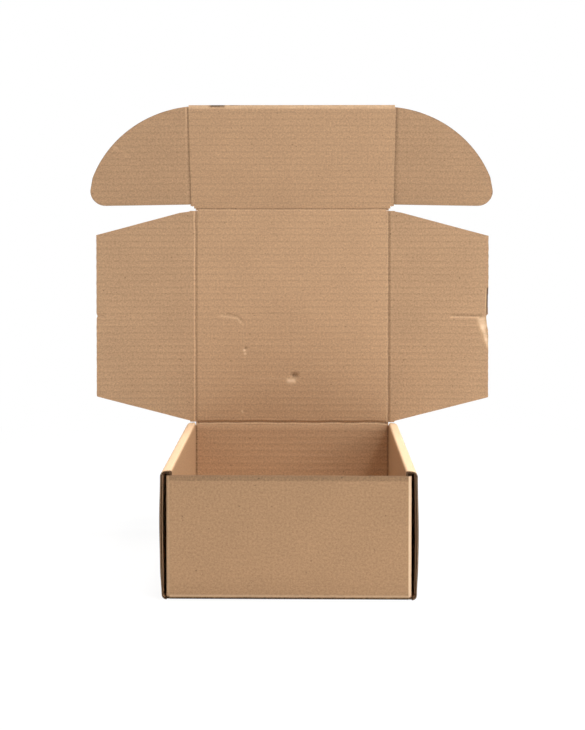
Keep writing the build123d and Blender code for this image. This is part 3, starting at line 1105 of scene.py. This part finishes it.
def add_front_wall(sheet):
    """The front wall with its fold into the base, from its upper edge down."""
    steps = [(FRONT_HEIGHT - FOLD_RADIUS, 0, 0), (0, QUARTER, FOLD_BEND)]
    front = FoldPath((-HALF_DEPTH + MID, FRONT_HEIGHT), -QUARTER, steps)
    edge, foot = -HALF_FLAT - front.length, -HALF_FLAT

    def place(u, v, n):
        y, z = front.at(front.length + HALF_FLAT + v, n)
        lean = np.clip((z - FRONT_HEIGHT + TOP_BAND) / TOP_BAND, 0, 1)
        return np.stack([u, y - LEAN_OUT * lean**2, z], -1)

    def relief(u, v, face):
        # painted shade on the band at the upper edge, on both faces
        top_shade = smooth((TOP_BAND - (v + HALF_FLAT + front.length)) / (0.8 * MM))
        if face > 0:
            return washboard(u, v, face), -0.85 * top_shade
        # a painted highlight and a line of painted shade along the fold into the base
        foot_highlight = 0.7 * soft_band(v + HALF_FLAT, -2.9 * MM, 0.8 * MM)
        fold_shade = 2.8 * smooth((v + HALF_FLAT + 2.3 * MM) / (0.7 * MM))
        return washboard(u, v, face, 0.3), foot_highlight - fold_shade - 0.85 * top_shade

    def is_cut(u, v):
        return v < edge + HAIR

    rows = spread(edge, foot, ROW, [(foot - 3 * MM, foot, 0.3 * MM), (edge, edge + 6 * MM, 0.5 * MM)])
    U, V = np.meshgrid(spread(-HALF_WALL, HALF_WALL, COLUMN), rows)
    board_panel(sheet, U, V, place, relief, is_cut=is_cut)


# %% [markdown]
# ## Base
# The base is one flat panel. On its underside the tabs of the side walls' linings show in four
# slots. The slots could be cut through the mesh, but the tabs fill them, so they are made as
# sunken relief, darkened with painted shade, on a mesh that is finer there.

# %% Slots of the base
TAB_WIDTH, TAB_SPACING = 34 * MM, 104 * MM
SLOT_X = LINING_FACE + BOARD / 2
SLOT_PLAY = 0.45 * MM       # how much wider a slot is than its tab, on each side
SLOT_DEPTH, TAB_DEPTH = 1.5 * MM, 0.2 * MM


def slot_area(across, along, play):
    """1 inside a slot or tab and 0 outside, from the distances to its middle."""
    wide = smooth((BOARD / 2 + play - across) / (0.2 * MM))
    return wide * smooth((TAB_WIDTH / 2 + play - along) / (0.2 * MM))


def base_relief(u, v, face):
    """Plain board, with the slots and the tabs in them on the underside, sunk and darkened with painted
    shade.
    """
    height, wear = plain_relief(u, v, face)
    if face > 0:
        return height, wear
    for x in (-SLOT_X, SLOT_X):
        for y in (-TAB_SPACING / 2, TAB_SPACING / 2):
            across, along = np.abs(u - x), np.abs(v - y)
            hole = slot_area(across, along, SLOT_PLAY)
            tab = slot_area(across, along, 0.05 * MM)
            height = height - hole * (SLOT_DEPTH - (SLOT_DEPTH - TAB_DEPTH) * tab)
            # painted shade in the slots, a little less on the tabs
            wear = wear - hole * (1.6 - 1.0 * tab)
    return height, wear


# %% Base
def add_base(sheet):
    """The base, from one side wall's foot to the other's."""
    slots = [(x - 2 * MM, x + 2 * MM, 0.2 * MM) for x in (-SLOT_X, SLOT_X)]
    slot_ends = [
        (y - 0.6 * MM, y + 0.6 * MM, 0.2 * MM)
        for y in (side * (TAB_SPACING + end * TAB_WIDTH) / 2 for side in (-1, 1) for end in (-1, 1))
    ]
    columns = spread(-HALF_BASE, HALF_BASE, 6 * MM, slots)
    U, V = np.meshgrid(columns, spread(-HALF_FLAT, HALF_FLAT, 1.3 * MM, slot_ends))

    def place(u, v, n):
        return np.stack([u, v, MID + n], -1)

    def is_cut(u, v):
        """The base's edge is open only beside the front and rear walls."""
        return (np.abs(v) > HALF_FLAT - HAIR) & (np.abs(u) > HALF_WALL)

    board_panel(sheet, U, V, place, base_relief, is_cut=is_cut)


# %% [markdown]
# ## Rear wall and corner flaps
# The rear wall is seen from inside, between the linings. Its corners beside the linings carry
# painted shade, and a painted highlight runs along its top under the lid's crease. Each end wall
# turns back at its two ends as a corner flap, which follows a path seen from above: a corner arc
# and a straight run.


# %% Rear wall
def add_rear_wall(sheet):
    """The rear wall with its fold out of the base, up to the crease of the lid."""
    steps = [(0, QUARTER, FOLD_BEND), (LID_Z - CREASE_BAND - FOLD_RADIUS, 0, 0)]
    rear = FoldPath((HALF_FLAT, MID), 0.0, steps)
    rows = spread(HALF_FLAT, HALF_FLAT + rear.length, ROW, [(HALF_FLAT, HALF_FLAT + 3 * MM, 0.3 * MM)])
    shoulder = HALF_FLAT + rear.length - (LID_Z - CREASE_BAND - SHOULDER_Z)
    rows, half = stepped(rows, (0, HALF_WALL), (shoulder, DUST_X))
    U = half[:, None] * spread(-1, 1, 0.04, [(-1, -0.93, 0.004), (0.93, 1, 0.004)])

    def place(u, v, n):
        y, z = rear.at(v - HALF_FLAT, n)
        return np.stack([u, y, z], -1)

    def relief(u, v, face):
        height, wear = plain_relief(u, v, face)
        if face > 0:
            # painted shade in the corners beside the linings, and a painted highlight under the lid's crease
            corner = soft_band(np.abs(u), LINING_FACE - 1.0 * MM, 0.7 * MM) * (v < shoulder)
            crease_highlight = soft_band(v, HALF_FLAT + rear.length, 3.2 * MM)
            wear = wear - 1.6 * corner + 0.5 * crease_highlight
        return height, wear

    def is_cut(u, v):
        return (v > shoulder) & (v < rows[-1] - HAIR)

    board_panel(sheet, U, levels(rows, U), place, relief, is_cut=is_cut)


# %% Corner flaps
CORNER_HIGHLIGHT = {(1, -1): 1.3, (-1, -1): 0.3}    # how strong the painted highlight on each of the two front corner folds is


def add_corner_flap(sheet, side, end, top):
    """The upright corner fold of an end wall and the flap behind it."""
    steps = [(0, QUARTER, CORNER_BEND), (FLAP_LENGTH - CORNER_RADIUS, 0, 0)]
    path = FoldPath((HALF_WALL, -HALF_DEPTH + MID), 0.0, steps)
    highlight = CORNER_HIGHLIGHT.get((side, end), 0)

    def place(u, v, n):
        x, y = path.at(u - HALF_WALL, n)
        return np.stack([side * x, -end * y, v], -1)

    def relief(u, v, face):
        height, wear = plain_relief(u, v, face)
        if face < 0:
            # painted highlight on the outer face of the corner fold
            wear = wear + highlight * soft_band(u - HALF_WALL, 0.6 * MM, 1.6 * MM)
        return height, wear

    corner = [(HALF_WALL, HALF_WALL + 3 * MM, 0.35 * MM)]
    columns = spread(HALF_WALL, HALF_WALL + path.length, 6 * MM, corner)
    U, V = np.meshgrid(columns, spread(BOARD + 0.3 * MM, top, 1.3 * MM))
    board_panel(sheet, U, V, place, relief, is_cut=cut_past(HALF_WALL + HAIR))


# %% The base and both ends as one piece
def make_ends():
    """The base with the front and rear walls and the four corner flaps."""
    sheet = Sheet()
    add_front_wall(sheet)
    add_base(sheet)
    add_rear_wall(sheet)
    for side in (-1, 1):
        for end, top in ((-1, FRONT_HEIGHT), (1, SHOULDER_Z)):
            add_corner_flap(sheet, side, end, top)
    return sheet


# %% [markdown]
# ## Rolled side walls
# A side wall is one long panel that goes up, over the strip and down again. Seen from the front it
# is not straight: the outer wall bows out, its foot is pushed in, and the strip's outer shoulder has
# sunk. Only the outer liner is crushed, so the slit for the ear stays open. The strip is pale,
# rubbed and with a painted highlight, and the front edge carries painted shade.

# %% Sizes of the side walls
SETBACK = 0.6 * MM          # how far a side wall ends short of the front face
REAR_GAIN = SETBACK - 0.1 * MM
LINING_SETBACK = 0.7 * MM   # how far the lining ends short of the end walls
HALF_SIDE, HALF_LINING = HALF_DEPTH - SETBACK, HALF_DEPTH - BOARD - LINING_SETBACK
SIDE_GROOVE = 2.4 * MM
BOW = {-1: 0.7 * MM, 1: 0.8 * MM}
WIDEST = {-1: 0.62, 1: 0.5}             # height of the widest place, as a share of the wall's
FOOT_IN = {-1: 1.2 * MM, 1: 0.7 * MM}
STRIP_DROP = 1.0 * MM       # how far the outer shoulder has sunk
REAR_RAISE = 0.1 * MM       # how much higher the strip's rear end stands
DROP_FROM, FOOT_TOP = 80 * MM, 26 * MM
CRUSH_SPAN = 24 * MM        # height over which the crushing at the shoulder or foot runs out
RISE = SIDE_HEIGHT - 2 * SHOULDER_RADIUS        # the straight stretch of the outer wall


# %% Path of a side wall
def side_path():
    """The path of a side wall seen from the front, and where each of its steps ends."""
    strip = HALF_BASE - LINING_FACE - LIP_RADIUS
    drop = SIDE_HEIGHT - LIP_RADIUS - BOARD - 0.1 * MM
    turn, lip = (0, QUARTER, SHOULDER_RADIUS - MID), (0, QUARTER, LIP_RADIUS - MID)
    steps = [turn, (RISE, 0, 0), turn, (strip, 0, 0), lip, (drop, 0, 0)]
    ends = np.cumsum([0] + [run if radius == 0 else angle * radius for run, angle, radius in steps])
    return FoldPath((HALF_BASE, MID), 0.0, steps), ends


SIDE_PATH, SIDE_ENDS = side_path()
print("a side wall is", round(SIDE_PATH.length / MM, 1), "mm of board")


# %% Place and relief of a side wall
def side_place(side):
    """Folds a side wall along its path, then bows and crushes it."""
    skew = math.log(0.5) / math.log(WIDEST[side])

    def place(u, v, n):
        x, z = SIDE_PATH.at(u - HALF_BASE, n)
        share = np.clip((u - HALF_BASE - SIDE_ENDS[1]) / RISE, 0, 1)
        x = x + BOW[side] * np.sin(math.pi * share**skew) ** 2
        crushed = np.clip(0.5 - n / BOARD, 0, 1)
        out = np.clip((x - LINING_FACE - BOARD) / (WALL_OUTSIDE - LINING_FACE - BOARD), 0, 1)
        z = z - STRIP_DROP * crushed * out * smooth((z - DROP_FROM) / CRUSH_SPAN)
        x = x - FOOT_IN[side] * crushed * smooth((FOOT_TOP - z) / CRUSH_SPAN) * (x > CORNER_FACE)
        at_rear, at_top = smooth((v - 90 * MM) / (16 * MM)), smooth((z - 95 * MM) / (8 * MM))
        return np.stack([side * x, v, z + REAR_RAISE * at_rear * at_top], -1)

    return place


def side_relief(u, v, face):
    """Plain board, with the strip pale from rubbing and a painted highlight, and painted shade on the front
    edge.
    """
    height, wear = plain_relief(u, v, face)
    # painted shade on the front edge
    front_edge_shade = smooth((-v - HALF_SIDE + 0.9 * MM) / (0.6 * MM))
    if face > 0:
        return height, wear - front_edge_shade
    along = u - HALF_BASE
    # the strip is pale: rubbed, and with a painted highlight
    strip_wear_and_highlight = smooth((along - SIDE_ENDS[2]) / (2 * MM)) * smooth((SIDE_ENDS[5] - along) / (1 * MM))
    return height, (wear + 1.1 * strip_wear_and_highlight) * (1 - front_edge_shade) - 1.2 * front_edge_shade


# %% Make a side wall
def make_side(side):
    """A rolled side wall: up from the base, over the strip and down as the lining."""
    bends = ((SIDE_ENDS[0], SIDE_ENDS[1]), (SIDE_ENDS[2], SIDE_ENDS[5]))
    fine = [(HALF_BASE + a, HALF_BASE + b, 0.35 * MM) for a, b in bends]
    columns = spread(HALF_BASE, HALF_BASE + SIDE_PATH.length, 4 * MM, fine)
    rows = spread(-1.0, 1.0, 0.9 * MM / HALF_SIDE)
    lip_start, lip_end = SIDE_ENDS[4], SIDE_ENDS[5]
    turn_down = smooth((columns - HALF_BASE - lip_start) / (lip_end - lip_start))
    in_lining = np.where(columns - HALF_BASE > lip_start, turn_down, 0)
    reach = HALF_SIDE + (HALF_LINING - HALF_SIDE) * in_lining
    V = rows[:, None] * reach + REAR_GAIN * np.clip(rows[:, None], 0, 1) ** 8 * (reach == HALF_SIDE)
    U = np.repeat(columns[None], len(rows), 0)
    sheet = Sheet()
    is_cut = cut_past(HALF_BASE + HAIR)
    board_panel(sheet, U, V, side_place(side), side_relief, is_cut=is_cut, groove=SIDE_GROOVE)
    return sheet


# %% [markdown]
# ## Pieces and their carriers
# The tray never bends, so its pieces ride on it. A flap's mesh reaches over its crease, and the
# crease is what bends. Each flap's mesh and the fluted medium in its cut edges are baked in place
# as they stand in the open box.

# %% Panels and flutes of the moving flaps
UPRIGHT_FOLDS = {"lid": ("tray", LID_Z), "tuck_flap": ("lid", TUCK_Z)}
SIDE_FOLDS = {
    "dust_flap_left": ("lid", -DUST_X),
    "dust_flap_right": ("lid", DUST_X),
    "ear_left": ("tuck_flap", -EAR_X),
    "ear_right": ("tuck_flap", EAR_X),
}


def hang(piece, name):
    """Bakes the transform of a piece into its mesh; the piece is not bent or tied to a body."""
    if name in UPRIGHT_FOLDS:
        carrier, z = UPRIGHT_FOLDS[name]
        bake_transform(piece)
    else:
        carrier, x = SIDE_FOLDS[name]
        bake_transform(piece)
    return piece


sheets = {
    "lid": make_lid(),
    "dust_flap_left": make_dust_flap(-1),
    "dust_flap_right": make_dust_flap(1),
    "tuck_flap": make_tuck_flap(),
    "ear_left": make_ear(-1),
    "ear_right": make_ear(1),
}
for name, sheet in sheets.items():
    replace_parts(hang(make_piece(name + "_board", sheet), name), name)
    hang(make_medium(name + "_flutes", [sheet]), name)

# %% Panels and flutes of the tray
tray_sheets = {
    "tray_base_and_ends": make_ends(),
    "tray_side_left": make_side(-1),
    "tray_side_right": make_side(1),
}
for name, sheet in tray_sheets.items():
    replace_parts(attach(make_piece(name, sheet), "tray"), "tray")
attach(make_medium("tray_flutes", tray_sheets.values()), "tray")

# %% [markdown]
# ## Floor and background
# Photos of this kind are taken on white paper that is lit until it shows no edge. A brighter lamp
# would do that too, but it would wash out the board. So the floor and the world are drawn white
# where the camera sees them directly, and give only a soft, weaker light to the box. Close to the
# box a little of the matt floor is mixed in, so that its shadow still shows.

# %% Floor
SPAN = 6.0
SHADOW_NEAR, SHADOW_FAR = 0.25, 0.75    # metres from the middle, between which the shadow fades
NEAR_WHITE = 0.88                       # how much of the floor's look is plain white beside the box
WHITE = (1, 1, 1, 1)


def white_floor():
    """A matt floor that the camera sees as almost plain white."""
    material = bpy.data.materials.new("white floor")
    material.use_nodes = True
    tree = material.node_tree
    tree.nodes.clear()
    here = add_node(tree, "ShaderNodeTexCoord").outputs["Object"]
    away = add_node(tree, "ShaderNodeVectorMath", {0: here}, operation="LENGTH").outputs["Value"]
    fade = {"Value": away, "From Min": SHADOW_NEAR, "From Max": SHADOW_FAR, "To Min": NEAR_WHITE}
    plain = add_node(tree, "ShaderNodeMapRange", fade, interpolation_type="SMOOTHSTEP").outputs[0]
    by_camera = add_node(tree, "ShaderNodeLightPath").outputs["Is Camera Ray"]
    glow = add_node(tree, "ShaderNodeEmission", {"Color": WHITE, "Strength": 1.0}).outputs[0]
    matt = add_node(tree, "ShaderNodeBsdfDiffuse", {"Color": (0.8, 0.8, 0.8, 1)}).outputs[0]
    parts = {0: calculate(tree, "MULTIPLY", by_camera, plain), 1: matt, 2: glow}
    mix = add_node(tree, "ShaderNodeMixShader", parts).outputs[0]
    add_node(tree, "ShaderNodeOutputMaterial", {0: mix})
    return material


floor_mesh = bpy.data.meshes.new("floor")
corners = [(-SPAN, -SPAN, 0), (SPAN, -SPAN, 0), (SPAN, SPAN * 3, 0), (-SPAN, SPAN * 3, 0)]
floor_mesh.from_pydata(corners, [], [(0, 1, 2, 3)])
floor = add_object("floor", floor_mesh)
floor_mesh.materials.append(white_floor())

# %% Background
WORLD_LIGHT = 0.15


def studio_world():
    """A world that the camera sees as white and that lights the box only weakly."""
    world = bpy.data.worlds.new("studio")
    world.use_nodes = True
    tree = world.node_tree
    tree.nodes.clear()
    by_camera = add_node(tree, "ShaderNodeLightPath").outputs["Is Camera Ray"]
    seen = add_node(tree, "ShaderNodeBackground", {"Color": WHITE, "Strength": 1.0}).outputs[0]
    lit = add_node(tree, "ShaderNodeBackground", {"Color": WHITE, "Strength": WORLD_LIGHT}).outputs[0]
    mix = add_node(tree, "ShaderNodeMixShader", {0: by_camera, 1: lit, 2: seen}).outputs[0]
    add_node(tree, "ShaderNodeOutputWorld", {0: mix})
    return world


bpy.context.scene.world = studio_world()
print("world light", WORLD_LIGHT)

# %% [markdown]
# ## Softboxes
# Kraft board is matt, so its form shows only in how brightly each face is lit. A studio sets that
# with softboxes: one for each direction that the panels look in, and all of them large, so that
# shadows stay soft. The tints are slight, as the photo's light is nearly white.

# %% Softboxes
WARM, COOL, AMBER, NEUTRAL = (1, 0.99, 0.97), (0.95, 1, 1), (1, 0.96, 0.9), (1, 1, 1)
# Name, place, the point that it faces, size in metres, power in watts, and tint.
SOFTBOXES = (
    ("key softbox", (2.3, -2.1, 1.1), (0, 0, 0.2), 0.75, 20.5, WARM),
    ("low softbox", (1.0, -0.8, 0.15), (0, 0, 0.05), 0.35, 1.1, WARM),
    ("high softbox", (0.9, -0.7, 1.7), (0, 0, 0.2), 0.4, 14.5, NEUTRAL),
    ("right side softbox", (1.3, -0.15, 1.2), (0, 0, 0.1), 0.6, 17.5, COOL),
    ("left side softbox", (-1.3, -0.2, 1.2), (0, 0, 0.1), 0.6, 9.5, AMBER),
    ("overhead softbox", (0, 0.03, 1.9), (0, 0.03, 0), 0.5, 30, NEUTRAL),
    ("rear softbox", (-0.9, 1.7, 0.9), (0, 0, 0.2), 0.8, 8, NEUTRAL),
)


def softbox(name, place, aim, size, power, tint):
    """A large square lamp that faces a point."""
    lamp = bpy.data.lights.new(name, "AREA")
    lamp.color = tint
    lamp.shape = "SQUARE"
    lamp.size = size
    lamp.energy = power
    body = bpy.data.objects.new(name, lamp)
    body.location = place
    body.rotation_mode = "QUATERNION"
    body.rotation_quaternion = (Vector(aim) - Vector(place)).to_track_quat("-Z", "Y")
    bpy.context.collection.objects.link(body)


for settings in SOFTBOXES:
    softbox(*settings)
print("softboxes", len(SOFTBOXES))

# %% [markdown]
# ## Camera
# The photo was taken from just over a metre in front of the box and a little above its middle,
# almost level. The lens is shifted instead of tilted, as product photographers do, so that upright
# edges stay upright. The view transform is the plain one, so a colour renders as it is written.

# %% Camera
FRAME_PX = 730.0            # height of the picture
FOCAL_PX = 1195.0           # focal length, measured in the picture's own pixels
SHIFT_PX = -138.0           # how far the lens is shifted
CAMERA_PLACE = (15.33 * MM, -1082.1 * MM, 326.7 * MM)
CAMERA_DOWN, CAMERA_TURN = math.radians(1.19), math.radians(0.72)

camera_data = bpy.data.cameras.new("camera")
camera_data.sensor_width = 36.0
camera_data.lens = FOCAL_PX * camera_data.sensor_width / FRAME_PX
camera_data.shift_y = SHIFT_PX / FRAME_PX
camera = bpy.data.objects.new("camera", camera_data)
camera.location = CAMERA_PLACE
camera.rotation_euler = (math.radians(90) - CAMERA_DOWN, 0, CAMERA_TURN)
bpy.context.collection.objects.link(camera)
bpy.context.scene.camera = camera
bpy.context.scene.view_settings.view_transform = "Standard"
print("lens", round(camera_data.lens, 1), "mm")
